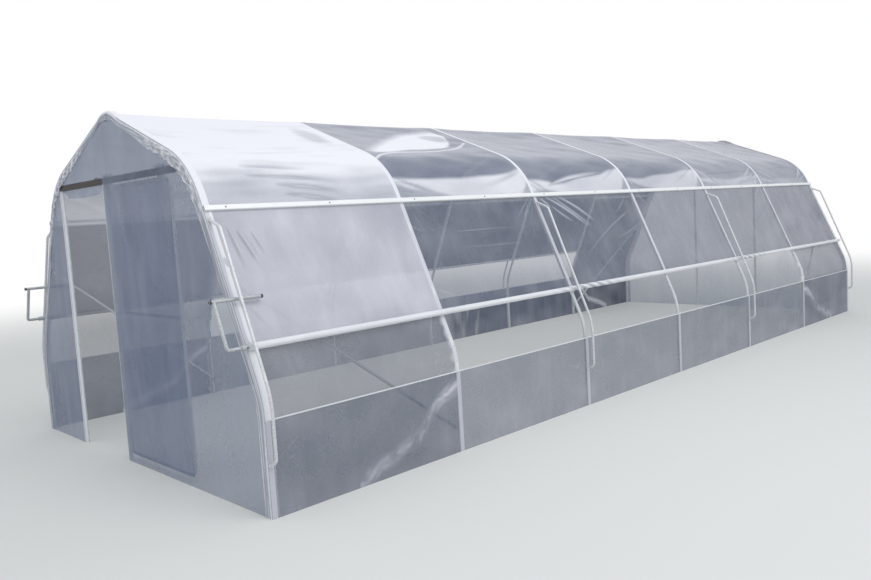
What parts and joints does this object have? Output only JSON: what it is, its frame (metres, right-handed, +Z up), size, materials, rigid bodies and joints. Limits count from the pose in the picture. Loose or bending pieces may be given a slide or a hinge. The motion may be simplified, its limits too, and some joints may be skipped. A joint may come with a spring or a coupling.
{
  "type": "polytunnel greenhouse",
  "caption": "Walk-in tunnel greenhouse of bent steel hoops under clear film, with roll-up side curtains on hand cranks, film skirts and a sliding end door.",
  "frame": {"origin": "on the ground, in the middle of the whole greenhouse's box", "axes": "+X to the right as seen from the door end, +Y along the tunnel from the door end to the rear, +Z up"},
  "size_m": [3.5182, 9.215, 2.4171],
  "materials": {
    "galvanised_tube": "galvanised, dull bright",
    "rail": "mill finish",
    "crank": "galvanised, handled",
    "header": "dark, dull",
    "hanger": "dark, dull",
    "film": "clear polythene, glossy, creased"
  },
  "bodies": {
    "tunnel": {"hoop_1": "galvanised_tube", "hoop_2": "galvanised_tube", "hoop_3": "galvanised_tube", "hoop_4": "galvanised_tube", "hoop_5": "galvanised_tube", "hoop_6": "galvanised_tube", "hoop_7": "galvanised_tube", "guide_bow_right_1": "galvanised_tube", "guide_bow_right_3": "galvanised_tube", "guide_bow_right_5": "galvanised_tube", "guide_bow_right_7": "galvanised_tube", "guide_bow_left_1": "galvanised_tube", "guide_bow_left_3": "galvanised_tube", "guide_bow_left_5": "galvanised_tube", "guide_bow_left_7": "galvanised_tube", "ridge_purlin": "galvanised_tube", "wind_braces_right": "galvanised_tube", "wind_braces_left": "galvanised_tube", "front_post_left": "galvanised_tube", "front_post_right": "galvanised_tube", "rear_end_frame": "galvanised_tube", "roller_tube_right": "galvanised_tube", "roller_tube_left": "galvanised_tube", "eave_rail_right": "rail", "eave_rail_left": "rail", "crank_right": "crank", "crank_left": "crank", "door_header": "header", "roof_film": "film", "front_film_left": "film", "front_film_right": "film", "front_film_over": "film", "rear_film": "film", "side_curtain_right": "film", "side_curtain_left": "film", "skirt_right": "film", "skirt_left": "film", "side_panel_front_right": "film", "side_panel_front_left": "film", "side_panel_rear_right": "film", "side_panel_rear_left": "film"},
    "door": {"door_frame": "galvanised_tube", "door_film": "film", "door_hangers": "hanger"}
  },
  "joints": [
    {"name": "door_slide", "type": "slide", "parent": "tunnel", "child": "door", "axis": [-1, 0, 0], "range_m": [0, 0.76]}
  ]
}
